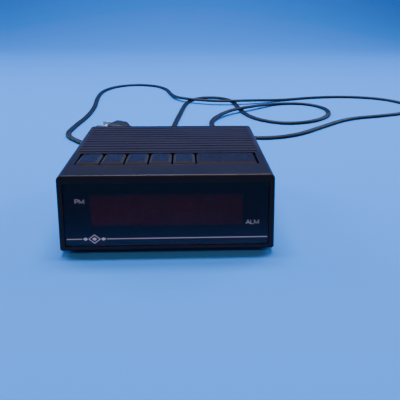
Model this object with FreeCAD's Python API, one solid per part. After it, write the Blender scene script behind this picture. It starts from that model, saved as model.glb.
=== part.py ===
import FreeCAD, Part
import math
import os

# Mains-powered digital alarm clock with a red LED display.
# Millimetres. Origin under the middle of the case, on the table; +X right, front faces -Y, +Z up.

V = FreeCAD.Vector
UP = V(0, 0, 1)

# --- case -----------------------------------------------------------------------------------------
TOP_WIDTH = 128.4            # across the top, before its edges are rounded
SIDE_DRAFT = 0.6             # each side stands this much further out at the bottom
CASE_TOP = 47.0              # height of the flat top above the table
SKIRT_BOTTOM = 2.6           # lower edge of the upper housing
FRONT_TOP_Y = -44.0          # front edge of the flat top
REAR_TOP_Y = 54.8            # rear edge of the flat top
FRONT_LEAN = 12.0            # the front face runs this far forward on its way down
REAR_DRAFT = 1.2
WALL = 2.2
TOP_SKIN = 2.4
FRONT_WALL = 4.6             # square to the front face
SIDE_EDGE_RADIUS = 3.2       # along the two long edges of the top
LOWER_EDGE_RADIUS = 1.6      # along the lower edge of each side
FRONT_EDGE_RADIUS = 1.1      # all round the front face
REAR_EDGE_RADIUS = 1.2       # all round the rear face
CASE_HEIGHT = CASE_TOP - SKIRT_BOTTOM
SLANT_HEIGHT = math.hypot(CASE_HEIGHT, FRONT_LEAN)
LEAN_ANGLE = math.degrees(math.atan2(FRONT_LEAN, CASE_HEIGHT))

# --- front panel, measured up the slanted front face ----------------------------------------------
PANEL_LOW = 2.9
PANEL_HIGH = SLANT_HEIGHT - 4.7
PANEL_HALF_TOP = 61.0        # the panel's sides follow the draft of the case
PANEL_HALF_LOW = 61.5
PANEL_RECESS = 0.9
LENS_THICKNESS = 2.0
MASK_GAP = 0.05
MASK_THICKNESS = 0.2
PANEL_GAP = 0.12
SEAT_WIDTH = 3.0             # ledge that the panel rests on
PANEL_CORNER = 1.2
SEAT_CORNER = 0.8
WINDOW_HALF_WIDTH = 45.9
WINDOW_LOW = SLANT_HEIGHT - 31.1
WINDOW_HIGH = SLANT_HEIGHT - 11.5

# --- display module behind the panel --------------------------------------------------------------
DISPLAY_HALF_WIDTH = 47.5
DISPLAY_LOW = 11.5
DISPLAY_HIGH = 37.5
DISPLAY_FRONT = 5.2          # depth behind the front face
DISPLAY_WALL = 1.5
REFLECTOR_FACE = 1.8
REFLECTOR_DEPTH = 4.4
DIFFUSER_THICKNESS = 1.0
DIGIT_COUNT = 4
COLON_SHIFT = 2.0            # hours and minutes stand this much apart from the middle
COLON_HALF_GAP = 3.4
COLON_RADIUS = 1.0
DISPLAY_BOARD_HALF_WIDTH = 50.0
DISPLAY_BOARD_LOW = 9.5
DISPLAY_BOARD_HIGH = 39.0
DISPLAY_BOARD_HOLE = 1.1
DIGIT_HEIGHT = 14.2
DIGIT_WIDTH = 8.2
DIGIT_PITCH = 17.0
SEGMENT_WIDTH = 1.8
SEGMENT_CLEARANCE = 0.1

# --- keys -----------------------------------------------------------------------------------------
KEY_COUNT = 5
KEY_WIDTH = 13.8
KEY_SLIT = 1.2
KEY_PITCH = KEY_WIDTH + KEY_SLIT
OPENING_HALF_WIDTH = 57.6
OPENING_FRONT_Y = FRONT_TOP_Y + 17.0
OPENING_REAR_Y = FRONT_TOP_Y + 36.6
OPENING_CORNER = 0.8
KEY_FRONT_GAP = 0.3
SNOOZE_FRONT_GAP = 1.2
KEY_REAR_GAP = 0.7
KEY_FRONT_RISE = 1.3
SNOOZE_FRONT_RISE = 0.4
KEY_REAR_RISE = -0.15
KEY_FRONT_BEVEL = 1.2
KEY_SIDE_BEVEL_WIDTH = 1.7
KEY_SIDE_BEVEL_DROP = 0.9
SNOOZE_SIDE_BEVEL_WIDTH = 0.6
KEY_REAR_CORNER = 1.3
KEY_SHELL = 1.3
KEY_ROOF = 2.1               # thickness of the cap under the flat top
KEY_POST_RADIUS = 2.2
KEY_DEPTH_BELOW = 4.9        # skirt of a key cap below the flat top
FLANGE_REACH = 1.3
FLANGE_THICKNESS = 1.2
PLUNGER_TOP = 37.0
PLUNGER_BOTTOM = 34.2
PLUNGER_RADIUS = 1.7
SWITCH_TOP = 34.6
SWITCH_SIZE = 6.2
SWITCH_CORNER = 0.5
SWITCH_BORE_FLOOR = 32.4
SWITCH_BORE_RADIUS = 2.1
KEY_BOARD_TOP = 31.0
KEY_BOARD_HALF_WIDTH = 60.0
KEY_BOARD_Y = (-25.5, -8.5)
BOARD_THICKNESS = 1.6
BOARD_CORNER = 1.0
KEY_POST_X = (58.9, 63.0)    # posts inside the side walls that hold the key board
KEY_POST_Y = (-21.0, -13.0)
KEY_POST_BELOW = 4.0
KEY_POST_SLOT_X = 60.3
KEY_POST_SLACK = 0.1

# --- ribbed part of the top -----------------------------------------------------------------------
GROOVE_COUNT = 12
GROOVE_PITCH = 5.15
GROOVE_FIRST_Y = FRONT_TOP_Y + 40.2
GROOVE_HALF_LENGTH = 60.0
GROOVE_WIDTH = 1.3
GROOVE_DEPTH = 0.7

# --- slots in the rear wall and the base ----------------------------------------------------------
SLOT_WIDTH = 1.6
REAR_VENT_COUNT = 8
REAR_VENT_FIRST_X = 12.0
REAR_VENT_PITCH = 5.0
REAR_VENT_Z = (20.0, 34.0)
TRANSFORMER_VENTS = (9, -53.0, 4.0, 2.0, 14.0)     # count, first x, pitch, lower y, upper y
BUZZER_VENTS = (5, -44.0, 4.0, -22.0, -10.0)
BOARD_VENTS = (10, -2.0, 5.0, 20.0, 36.0)

# --- base -----------------------------------------------------------------------------------------
BASE_BOTTOM = 1.0
BASE_FLOOR_TOP = 3.6
BASE_LIP_TOP = 5.2
PLINTH_INSET = 5.0           # the base stands back under the skirt
LIP_CLEARANCE = 0.25
LIP_THICKNESS = 1.6
BOARD_POST_RADIUS = 2.6
BOARD_POST_INSET = 4.0
BOSS_X = 55.0
BOSS_FRONT_Y = -38.0
BOSS_REAR_Y = 46.0
BOSS_RADIUS = 3.3
BASE_BOSS_RADIUS = 4.2
BOSS_SPLIT = 6.0             # height where upper and lower screw bosses meet
SCREW_RADIUS = 1.4
SCREW_LENGTH = 12.0
SCREW_HEAD_RADIUS = 2.8
SCREW_HEAD_LOW = 1.7
SCREW_HEAD_TOP = 3.6
SCREW_RECESS_RADIUS = 3.2
SCREW_CROSS = (3.6, 0.8)     # length and width of each arm of the cross
FOOT_RADIUS = 5.0
FOOT_EDGE = 0.4
FOOT_TOP = 1.6
FOOT_X = 49.0
FOOT_FRONT_Y = -45.0
FOOT_REAR_Y = 38.5
LABEL_X = (-4.0, 44.0)
LABEL_Y = (-26.0, 4.0)
LABEL_THICKNESS = 0.2
LABEL_CORNER = 2.0

# --- electronics ----------------------------------------------------------------------------------
MAIN_BOARD = (-10.0, 52.0, -28.0, 40.0)      # x and y limits
MAIN_BOARD_BOTTOM = 10.0
TRANSFORMER_X = -37.0
TRANSFORMER_Y = 26.0
CORE_WIDTH = 36.0
CORE_DEPTH = 15.0
CORE_HEIGHT = 30.0
CORE_BOTTOM = 4.6
CORE_YOKE = 5.6              # iron above and below the two windows
CORE_WINDOW_X = 9.0
CORE_WINDOW_WIDTH = 6.4
BOBBIN_GAP = 0.2
BOBBIN_INSIDE = (5.9, 7.6)   # half sizes across and along
BOBBIN_OUTSIDE = (7.0, 8.8)
BOBBIN_FLANGE = (12.0, 14.0)
FLANGE_PLATE = 1.2
WINDING_GAP = 0.05
WINDING_OUTSIDE = (11.4, 13.0)
WINDING_CORNER = 1.2
STRAP_THICKNESS = 0.9
STRAP_INSET = 2.0
STRAP_FOOT_TOP = 10.6
BUZZER_X = -36.0
BUZZER_Y = -16.0
BUZZER_RADIUS = 12.0
BUZZER_TOP = 9.6
BUZZER_WALL = 1.2
BUZZER_ROOF = 1.0
BUZZER_HOLE = 1.6
BUZZER_DISC_Z = (5.6, 5.9)
CHIP_X = 20.0
CHIP_Y = 2.0
CHIP_HALF_LENGTH = 18.0
CHIP_HALF_WIDTH = 6.6
CHIP_Z = (0.6, 4.4)          # above the board
CHIP_NOTCH = 1.5
CHIP_PINS = 14               # on each side
PIN_PITCH = 2.54
PIN_WIDTH = 0.8
PIN_OFFSET = 7.2
PIN_DEPTH = 1.4
PIN_HEIGHT = 2.4
CAPACITOR_X = 42.0
CAPACITOR_Y = 27.0
CAPACITOR_RADIUS = 6.4
CAPACITOR_HEIGHT = 21.0
CAPACITOR_EDGE = 0.8
WIRE_RADIUS = 0.35
WIRE_OVERHANG = 2.5
REGULATOR_X = 8.0
REGULATOR_Y = 27.0
REGULATOR_Z = (3.0, 7.8)
REGULATOR_RADIUS = 2.4
REGULATOR_FLAT = 1.1
REGULATOR_LEG = 0.6
REGULATOR_LEG_PITCH = 1.3
DIODE_SIZE = (5.2, 1.35)     # length and radius of the body
DIODE_X = 22.0
DIODE_Y = (24.0, 30.0)
RESISTOR_SIZE = (6.3, 1.15)
RESISTOR_X = (4.0, 18.0)
RESISTOR_Y = -16.0
BODY_ABOVE_BOARD = 0.6

# --- mains cord, flat twin ------------------------------------------------------------------------
CORD_WIDTH = 6.0
CORD_THICKNESS = 3.0
CORD_LIE = CORD_THICKNESS / 2 + 0.02         # height of the centre line on the table
CORD_CROSSING = 5.2          # and where it passes over itself
CORD_EXIT_X = -20.0
CORD_EXIT_Z = 9.0
BOOT_END_Y = 78.0
BOOT_SECTIONS = (            # y, width, height, corner
    (56.2, 10.4, 8.4, 2.0),
    (60.0, 9.6, 7.4, 1.9),
    (BOOT_END_Y, 7.0, 4.4, 1.6),
)
NECK_HALF_WIDTH = 4.3
NECK_HALF_HEIGHT = 2.9
NECK_CLEARANCE = 0.1
BOOT_FLANGE_Y = (51.2, 53.4)
BOOT_FLANGE_HALF_WIDTH = 6.5
BOOT_FLANGE_HALF_HEIGHT = 3.4
PLUG_X = -46.0               # where the cord enters the plug
PLUG_Y = 171.0
PLUG_Z = 7.0
PLUG_TURN = -25.0            # the plug points to -X, turned this far about Z
PLUG_LENGTH = 26.0
PLUG_SECTIONS = (            # distance from the cord end, width, height, corner
    (0.0, 8.0, 6.0, 2.4),
    (4.0, 11.0, 8.0, 3.0),
    (10.0, 20.0, 12.4, 4.0),
    (15.0, 23.4, 14.0, 4.6),
    (PLUG_LENGTH - 1.2, 24.0, 14.0, 4.6),
    (PLUG_LENGTH, 22.4, 12.4, 4.0),
)
BLADE_LENGTH = 17.0
BLADE_SPACING = 12.7
BLADE_THICKNESS = 1.5
BLADE_TIP_RADIUS = 1.2
BLADE_HOLE_RADIUS = 1.5
BLADE_HOLE_INSET = 4.0
WIDE_BLADE = 7.9
NARROW_BLADE = 6.3

# --- leads inside the case ------------------------------------------------------------------------
LEAD_RADIUS = 0.9
LEAD_X = TRANSFORMER_X + 6.0                 # where both leads meet the windings
PRIMARY_Z = 14.6
SECONDARY_Z = 24.6
PRIMARY_BENDS = (            # between the boot and the lower winding
    (CORD_EXIT_X, 48.0, CORD_EXIT_Z),
    (CORD_EXIT_X - 2.0, 45.0, 11.5),
    (CORD_EXIT_X - 9.0, 43.6, 14.4),
    (LEAD_X, 42.6, PRIMARY_Z),
)
SECONDARY_BENDS = (          # between the upper winding and the main board
    (LEAD_X, 9.4, SECONDARY_Z),
    (-26.0, 6.6, 24.0),
    (-20.0, 5.0, 21.0),
    (-13.0, 4.0, 17.0),
    (-6.0, 4.0, 12.6),
)
RIBBON_X = (8.0, 32.0)
RIBBON_THICKNESS = 0.8
RIBBON_BENDS = ((-24.0, 11.7), (-24.0, 16.0), (-28.0, 19.5), (-33.6, 21.0))      # y and z

CORD_ROUTE = [
    (CORD_EXIT_X, BOOT_END_Y, CORD_EXIT_Z),
    (CORD_EXIT_X, 98.0, 8.4),
    (-14.0, 128.0, 3.2),
    (-5.0, 168.0, CORD_LIE),
    (-1.0, 214.0, CORD_LIE),
    (6.0, 268.0, CORD_LIE),
    (14.0, 326.0, CORD_LIE),
    (34.0, 352.0, CORD_LIE),
    (62.0, 354.0, CORD_LIE),
    (82.0, 332.0, CORD_LIE),
    (85.0, 290.0, CORD_LIE),
    (94.0, 240.0, CORD_LIE),
    (128.0, 212.0, CORD_LIE),
    (170.0, 220.0, CORD_LIE),
    (201.0, 250.0, CORD_LIE),
    (207.0, 288.0, CORD_LIE),
    (182.0, 315.0, CORD_LIE),
    (140.0, 312.0, CORD_LIE),
    (104.0, 284.0, CORD_CROSSING),
    (66.0, 260.0, CORD_CROSSING),
    (40.0, 222.0, CORD_LIE),
    (49.0, 178.0, CORD_LIE),
    (88.0, 156.0, CORD_LIE),
    (134.0, 166.0, CORD_LIE),
    (174.0, 199.0, CORD_LIE),
    (218.0, 234.0, CORD_LIE),
    (268.0, 246.0, CORD_LIE),
    (312.0, 262.0, CORD_LIE),
    (334.0, 300.0, CORD_LIE),
    (314.0, 340.0, CORD_LIE),
    (264.0, 356.0, CORD_LIE),
    (208.0, 352.0, CORD_LIE),
    (154.0, 334.0, CORD_LIE),
    (106.0, 318.0, CORD_CROSSING),
    (58.0, 312.0, CORD_CROSSING),
    (4.0, 332.0, CORD_CROSSING),
    (-10.0, 372.0, CORD_LIE),
    (-17.0, 412.0, CORD_LIE),
    (-38.0, 442.0, CORD_LIE),
    (-72.0, 452.0, CORD_LIE),
    (-104.0, 436.0, CORD_LIE),
    (-121.0, 400.0, CORD_LIE),
    (-120.0, 350.0, CORD_LIE),
    (-113.0, 298.0, CORD_LIE),
    (-113.0, 248.0, CORD_LIE),
    (-119.0, 207.0, CORD_LIE),
    (-121.0, 173.0, CORD_LIE),
    (-99.0, 148.0, CORD_LIE),
    (-77.0, 128.0, CORD_LIE),
    (-56.0, 115.0, CORD_LIE),
    (-35.5, 115.0, CORD_LIE),
    (-21.0, 130.0, 2.2),
    (-21.0, 150.0, 4.2),
    (-35.5, 165.0, PLUG_Z),
    (PLUG_X, PLUG_Y, PLUG_Z),
]


# --- shared shape helpers -------------------------------------------------------------------------

def box(x0, x1, y0, y1, z0, z1):
    return Part.makeBox(x1 - x0, y1 - y0, z1 - z0, V(x0, y0, z0))


def cylinder(x, y, z0, z1, radius):
    return Part.makeCylinder(radius, z1 - z0, V(x, y, z0))


def rod(start, direction, length, radius):
    return Part.makeCylinder(radius, length, V(*start), V(*direction))


def is_upright(edge):
    first, last = edge.Vertexes[0].Point, edge.Vertexes[-1].Point
    return math.hypot(first.x - last.x, first.y - last.y) < abs(first.z - last.z)


def rounded_box(x0, x1, y0, y1, z0, z1, radius):
    block = box(x0, x1, y0, y1, z0, z1)
    return block.makeFillet(radius, [edge for edge in block.Edges if is_upright(edge)])


def case_drop(z):
    """How far down the side of the case a height is, from 0 at the top to 1 at the skirt."""
    return (CASE_TOP - z) / CASE_HEIGHT


def case_outline(z, side, front, rear):
    """Outline of the case at height z, set in by the three wall allowances."""
    drop = case_drop(z)
    half = TOP_WIDTH / 2 + SIDE_DRAFT * drop - side
    near = FRONT_TOP_Y - FRONT_LEAN * drop + front
    far = REAR_TOP_Y + REAR_DRAFT * drop - rear
    return Part.makePolygon([V(-half, near, z), V(half, near, z), V(half, far, z),
                             V(-half, far, z), V(-half, near, z)])


def case_block(z0, z1, side=0.0, front=0.0, rear=0.0):
    ends = [case_outline(z, side, front, rear) for z in (z0, z1)]
    return Part.makeLoft(ends, True, True)


def on_front(shape):
    """Moves a shape drawn upright (x right, y inward, z up the face) onto the leaning front face."""
    placed = shape.copy()
    placed.rotate(V(0, 0, 0), V(1, 0, 0), -LEAN_ANGLE)
    placed.translate(V(0, FRONT_TOP_Y - FRONT_LEAN, SKIRT_BOTTOM))
    return placed


def panel_plate(inset, depth0, depth1, corner=PANEL_CORNER):
    """Front panel outline, set in by inset, between two depths behind the front face."""
    low = PANEL_HALF_LOW - inset
    high = PANEL_HALF_TOP - inset
    corners = [V(-low, depth0, PANEL_LOW + inset), V(low, depth0, PANEL_LOW + inset),
               V(high, depth0, PANEL_HIGH - inset), V(-high, depth0, PANEL_HIGH - inset)]
    plate = Part.Face(Part.makePolygon(corners + corners[:1])).extrude(V(0, depth1 - depth0, 0))
    edges = [edge for edge in plate.Edges
             if abs(edge.Vertexes[0].Point.y - edge.Vertexes[-1].Point.y) > 0.1]
    return plate.makeFillet(corner, edges)


def route_path(points):
    """Straight runs joined by tangent arcs, each arc as large as its two runs allow."""
    corners = [V(*point) for point in points]
    edges = []
    start = corners[0]
    for before, corner, after in zip(corners, corners[1:], corners[2:]):
        back, onward = before - corner, after - corner
        setback = 0.45 * min(back.Length, onward.Length)
        turn = math.pi - back.getAngle(onward)
        radius = setback / math.tan(turn / 2)
        back.normalize()
        onward.normalize()
        bisector = back + onward
        bisector.normalize()
        arc_in, arc_out = corner + back * setback, corner + onward * setback
        arc_middle = corner + bisector * (radius / math.cos(turn / 2) - radius)
        edges.append(Part.LineSegment(start, arc_in).toShape())
        edges.append(Part.Arc(arc_in, arc_middle, arc_out).toShape())
        start = arc_out
    edges.append(Part.LineSegment(start, corners[-1]).toShape())
    return Part.Wire(edges)


def flat_section(centre, along, half_width, half_thickness):
    """Flat twin cord section: a lying oblong with round ends, square to a level direction."""
    side = along.cross(UP)
    side.normalize()
    flat = half_width - half_thickness
    rise = UP * half_thickness
    left, right = centre - side * flat, centre + side * flat
    return Part.Wire([
        Part.LineSegment(left + rise, right + rise).toShape(),
        Part.Arc(right + rise, right + side * half_thickness, right - rise).toShape(),
        Part.LineSegment(right - rise, left - rise).toShape(),
        Part.Arc(left - rise, left - side * half_thickness, left + rise).toShape(),
    ])


def flat_cord(points, width, thickness):
    along = V(*points[1]) - V(*points[0])
    along.z = 0
    shell = Part.BRepOffsetAPI.MakePipeShell(route_path(points))
    shell.setBiNormalMode(UP)
    shell.add(flat_section(V(*points[0]), along, width / 2, thickness / 2), False, False)
    shell.build()
    shell.makeSolid()
    return shell.shape()


def round_lead(points):
    along = V(*points[1]) - V(*points[0])
    ring = Part.Wire([Part.Circle(V(*points[0]), along, LEAD_RADIUS).toShape()])
    shell = Part.BRepOffsetAPI.MakePipeShell(route_path(points))
    shell.setFrenetMode(False)
    shell.add(ring, False, False)
    shell.build()
    shell.makeSolid()
    return shell.shape()


def oblong(x, centre_y, centre_z, size_y, size_z, radius):
    """Rounded rectangle standing square to X, as one wire."""
    half_y, half_z = size_y / 2 - radius, size_z / 2 - radius
    diagonal = radius * math.sqrt(0.5)
    edges = []
    corner_signs = [(1, 1), (-1, 1), (-1, -1), (1, -1)]
    arcs = []
    for sign_y, sign_z in corner_signs:
        hub = V(x, centre_y + sign_y * half_y, centre_z + sign_z * half_z)
        to_y, to_z = V(0, sign_y * radius, 0), V(0, 0, sign_z * radius)
        middle = hub + V(0, sign_y * diagonal, sign_z * diagonal)
        ends = (hub + to_y, hub + to_z) if sign_y == sign_z else (hub + to_z, hub + to_y)
        arcs.append((ends[0], middle, ends[1]))
    for arc, following in zip(arcs, arcs[1:] + arcs[:1]):
        edges.append(Part.Arc(*arc).toShape())
        edges.append(Part.LineSegment(arc[2], following[0]).toShape())
    return Part.Wire(edges)


def boss_places():
    return [(side * BOSS_X, y) for y in (BOSS_FRONT_Y, BOSS_REAR_Y) for side in (-1, 1)]


def foot_places():
    return [(side * FOOT_X, y) for y in (FOOT_FRONT_Y, FOOT_REAR_Y) for side in (-1, 1)]


def upright_slot(x, y0, y1, z0, z1):
    return rounded_box(x, x + SLOT_WIDTH, y0, y1, z0, z1, 0.45 * SLOT_WIDTH)


def base_slots(count, first_x, pitch, y0, y1):
    places = [first_x + pitch * index for index in range(count)]
    return [upright_slot(x, y0, y1, 0.0, BASE_FLOOR_TOP + 0.5) for x in places]


# --- housings -------------------------------------------------------------------------------------

def edges_where(block, test):
    """Edges whose two ends both pass a test of their point."""
    return [edge for edge in block.Edges if all(test(vertex.Point) for vertex in edge.Vertexes)]


def outer_case():
    """The closed outside of the upper housing, with a radius of its own for each kind of edge."""
    block = case_block(SKIRT_BOTTOM, CASE_TOP)
    for side in (-1, 1):
        top_edge = edges_where(block, lambda p: p.x * side > 0 and p.z > CASE_TOP - 0.01)
        block = block.makeFillet(SIDE_EDGE_RADIUS, top_edge)
        low_edge = edges_where(block, lambda p: p.x * side > 0 and p.z < SKIRT_BOTTOM + 0.01)
        block = block.makeFillet(LOWER_EDGE_RADIUS, low_edge)
    rear = max(block.Faces, key=lambda face: face.CenterOfMass.y)
    block = block.makeFillet(REAR_EDGE_RADIUS, rear.Edges)
    front = min(block.Faces, key=lambda face: face.CenterOfMass.y)
    return block.makeFillet(FRONT_EDGE_RADIUS, front.Edges)


def groove(index):
    y = GROOVE_FIRST_Y + index * GROOVE_PITCH
    half = GROOVE_WIDTH / 2
    return rounded_box(-GROOVE_HALF_LENGTH, GROOVE_HALF_LENGTH, y - half, y + half,
                       CASE_TOP - GROOVE_DEPTH, CASE_TOP + 1.0, half * 0.9)


def key_board_posts():
    """Two slotted posts inside the side walls that hold the ends of the key board."""
    posts = []
    for side in (-1, 1):
        post = box(*KEY_POST_X, *KEY_POST_Y, KEY_BOARD_TOP - KEY_POST_BELOW, CASE_TOP - TOP_SKIN + 0.2)
        slot_low = KEY_BOARD_TOP - BOARD_THICKNESS - KEY_POST_SLACK
        post = post.cut(box(KEY_POST_X[0] - 1.0, KEY_POST_SLOT_X, KEY_POST_Y[0] - 1.0,
                            KEY_POST_Y[1] + 1.0, slot_low, KEY_BOARD_TOP + KEY_POST_SLACK))
        if side < 0:
            post = post.mirror(V(0, 0, 0), V(1, 0, 0))
        posts.append(post)
    return posts


def rear_vents():
    places = [REAR_VENT_FIRST_X + REAR_VENT_PITCH * index for index in range(REAR_VENT_COUNT)]
    inner, outer = REAR_TOP_Y - WALL - 2.0, REAR_TOP_Y + REAR_DRAFT + 1.0
    return [box(x, x + SLOT_WIDTH, inner, outer, *REAR_VENT_Z) for x in places]


def cord_hole():
    half_width, half_height = NECK_HALF_WIDTH + NECK_CLEARANCE, NECK_HALF_HEIGHT + NECK_CLEARANCE
    return box(CORD_EXIT_X - half_width, CORD_EXIT_X + half_width, REAR_TOP_Y - 3.0, REAR_TOP_Y + 3.0,
               CORD_EXIT_Z - half_height, CORD_EXIT_Z + half_height)


def top_housing():
    inner_front = FRONT_WALL / math.cos(math.radians(LEAN_ANGLE))
    shell = outer_case().cut(case_block(SKIRT_BOTTOM - 1.0, CASE_TOP - TOP_SKIN, WALL, inner_front, WALL))
    bosses = [cylinder(x, y, BOSS_SPLIT, CASE_TOP - TOP_SKIN + 0.2, BOSS_RADIUS) for x, y in boss_places()]
    inside = case_block(SKIRT_BOTTOM, CASE_TOP - 1.0, 1.0, 1.0, 1.0)
    shell = shell.fuse([piece.common(inside) for piece in bosses + key_board_posts()])
    pocket = PANEL_RECESS + LENS_THICKNESS + MASK_GAP + MASK_THICKNESS
    cuts = [on_front(panel_plate(0.0, -2.0, pocket)),
            on_front(panel_plate(SEAT_WIDTH, 0.0, FRONT_WALL + 1.5, SEAT_CORNER)),
            rounded_box(-OPENING_HALF_WIDTH, OPENING_HALF_WIDTH, OPENING_FRONT_Y, OPENING_REAR_Y,
                        CASE_TOP - TOP_SKIN - 1.0, CASE_TOP + 2.0, OPENING_CORNER),
            cord_hole()]
    cuts += [groove(index) for index in range(GROOVE_COUNT)]
    cuts += rear_vents()
    cuts += [cylinder(x, y, BOSS_SPLIT - 1.0, BOSS_SPLIT + SCREW_LENGTH, SCREW_RADIUS + 0.05)
             for x, y in boss_places()]
    return shell.cut(cuts).removeSplitter()


def bottom_housing():
    front = FRONT_WALL / math.cos(math.radians(LEAN_ANGLE))
    plinth = case_block(BASE_BOTTOM, SKIRT_BOTTOM, PLINTH_INSET, PLINTH_INSET, PLINTH_INSET)
    side_gap, front_gap = WALL + LIP_CLEARANCE, front + LIP_CLEARANCE
    lip = case_block(SKIRT_BOTTOM, BASE_LIP_TOP, side_gap, front_gap, side_gap)
    hollow = case_block(BASE_FLOOR_TOP, BASE_LIP_TOP + 1.0, side_gap + LIP_THICKNESS,
                        front_gap + LIP_THICKNESS, side_gap + LIP_THICKNESS)
    base = plinth.fuse(lip).cut(hollow)
    x0, x1, y0, y1 = MAIN_BOARD
    posts = [cylinder(x, y, BASE_BOTTOM + 0.5, MAIN_BOARD_BOTTOM, BOARD_POST_RADIUS)
             for x in (x0 + BOARD_POST_INSET, x1 - BOARD_POST_INSET)
             for y in (y0 + BOARD_POST_INSET, y1 - BOARD_POST_INSET)]
    posts += [cylinder(x, y, BASE_BOTTOM, BOSS_SPLIT, BASE_BOSS_RADIUS) for x, y in boss_places()]
    room = case_block(BASE_BOTTOM, MAIN_BOARD_BOTTOM + 1.0, side_gap, front_gap, side_gap)
    base = base.fuse([post.common(room) for post in posts])
    cuts = [cylinder(x, y, BASE_BOTTOM - 1.0, FOOT_TOP, FOOT_RADIUS + 0.1) for x, y in foot_places()]
    cuts += [cylinder(x, y, BASE_BOTTOM - 1.0, SCREW_HEAD_TOP, SCREW_RECESS_RADIUS)
             for x, y in boss_places()]
    cuts += [cylinder(x, y, BASE_BOTTOM, BOSS_SPLIT + 1.0, SCREW_RADIUS + 0.2)
             for x, y in boss_places()]
    cuts += base_slots(*TRANSFORMER_VENTS) + base_slots(*BUZZER_VENTS) + base_slots(*BOARD_VENTS)
    flange_room = BOOT_FLANGE_HALF_WIDTH + NECK_CLEARANCE
    flange_low = CORD_EXIT_Z - BOOT_FLANGE_HALF_HEIGHT - NECK_CLEARANCE
    cuts.append(box(CORD_EXIT_X - flange_room, CORD_EXIT_X + flange_room, BOOT_FLANGE_Y[0] - 1.0,
                    REAR_TOP_Y + 3.0, flange_low, BASE_LIP_TOP + 1.0))
    return base.cut(cuts).removeSplitter()


# --- front panel and display ----------------------------------------------------------------------

def front_lens():
    return on_front(panel_plate(PANEL_GAP, PANEL_RECESS, PANEL_RECESS + LENS_THICKNESS))


def lens_mask():
    back = PANEL_RECESS + LENS_THICKNESS + MASK_GAP
    mask = panel_plate(PANEL_GAP, back, back + MASK_THICKNESS)
    window = box(-WINDOW_HALF_WIDTH, WINDOW_HALF_WIDTH, back - 1.0, back + 1.0, WINDOW_LOW, WINDOW_HIGH)
    return on_front(mask.cut(window))


def bar(x, z, length, upright, grow, depth0, depth1):
    """One display segment: a bar with pointed ends."""
    half, width = length / 2 + grow, SEGMENT_WIDTH / 2 + grow
    outline = [(-half, 0), (-half + width, width), (half - width, width), (half, 0),
               (half - width, -width), (-half + width, -width)]
    points = [V(x + (b if upright else a), depth0, z + (a if upright else b)) for a, b in outline]
    return Part.Face(Part.makePolygon(points + points[:1])).extrude(V(0, depth1 - depth0, 0))


def display_bars(grow, depth0, depth1):
    """Four seven-segment digits and the colon, between two depths behind the front face."""
    middle = (DISPLAY_LOW + DISPLAY_HIGH) / 2
    half_w, half_h = DIGIT_WIDTH / 2, DIGIT_HEIGHT / 2
    across, upward = DIGIT_WIDTH - 0.5, half_h - 0.5
    shapes = []
    for digit in range(DIGIT_COUNT):
        side = -1 if digit < DIGIT_COUNT / 2 else 1
        x = (digit - (DIGIT_COUNT - 1) / 2) * DIGIT_PITCH + side * COLON_SHIFT
        for level in (-half_h, 0.0, half_h):
            shapes.append(bar(x, middle + level, across, False, grow, depth0, depth1))
        for offset in (-half_w, half_w):
            for level in (-half_h / 2, half_h / 2):
                shapes.append(bar(x + offset, middle + level, upward, True, grow, depth0, depth1))
    for level in (-COLON_HALF_GAP, COLON_HALF_GAP):
        shapes.append(rod((0, depth0, middle + level), (0, 1, 0), depth1 - depth0, COLON_RADIUS + grow))
    return shapes


def display_reflector():
    back = DISPLAY_FRONT + REFLECTOR_DEPTH
    block = box(-DISPLAY_HALF_WIDTH, DISPLAY_HALF_WIDTH, DISPLAY_FRONT, back, DISPLAY_LOW, DISPLAY_HIGH)
    half = DISPLAY_HALF_WIDTH - DISPLAY_WALL
    hollow = box(-half, half, DISPLAY_FRONT + REFLECTOR_FACE, back + 1.0,
                 DISPLAY_LOW + DISPLAY_WALL, DISPLAY_HIGH - DISPLAY_WALL)
    slots = display_bars(SEGMENT_CLEARANCE, DISPLAY_FRONT - 1.0, DISPLAY_FRONT + REFLECTOR_FACE + 0.5)
    return on_front(block.cut([hollow] + slots))


def display_segments():
    plate_front = DISPLAY_FRONT + REFLECTOR_FACE + 0.1
    inset = DISPLAY_WALL + 0.5
    plate = box(-DISPLAY_HALF_WIDTH + inset, DISPLAY_HALF_WIDTH - inset, plate_front,
                plate_front + DIFFUSER_THICKNESS, DISPLAY_LOW + inset, DISPLAY_HIGH - inset)
    return on_front(plate.fuse(display_bars(0.0, DISPLAY_FRONT, plate_front + 0.5)))


def display_board():
    front = DISPLAY_FRONT + REFLECTOR_DEPTH
    board = box(-DISPLAY_BOARD_HALF_WIDTH, DISPLAY_BOARD_HALF_WIDTH, front, front + BOARD_THICKNESS,
                DISPLAY_BOARD_LOW, DISPLAY_BOARD_HIGH)
    hole_x = DISPLAY_BOARD_HALF_WIDTH - 1.5
    holes = [rod((x, front - 1.0, z), (0, 1, 0), 4.0, DISPLAY_BOARD_HOLE) for x in (-hole_x, hole_x)
             for z in (DISPLAY_BOARD_LOW + 1.5, DISPLAY_BOARD_HIGH - 1.5)]
    return on_front(board.cut(holes))


# --- keys and their switches ----------------------------------------------------------------------

def key_spans():
    """Left and right limits of every key, by node name."""
    spans = {}
    left = -OPENING_HALF_WIDTH + KEY_SLIT
    for index in range(KEY_COUNT):
        spans["key_%d" % (index + 1)] = (left, left + KEY_WIDTH)
        left += KEY_PITCH
    spans["snooze_key"] = (left, OPENING_HALF_WIDTH - KEY_SLIT)
    return spans


def switch_place(span):
    return (span[0] + span[1]) / 2, (OPENING_FRONT_Y + OPENING_REAR_Y) / 2


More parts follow.
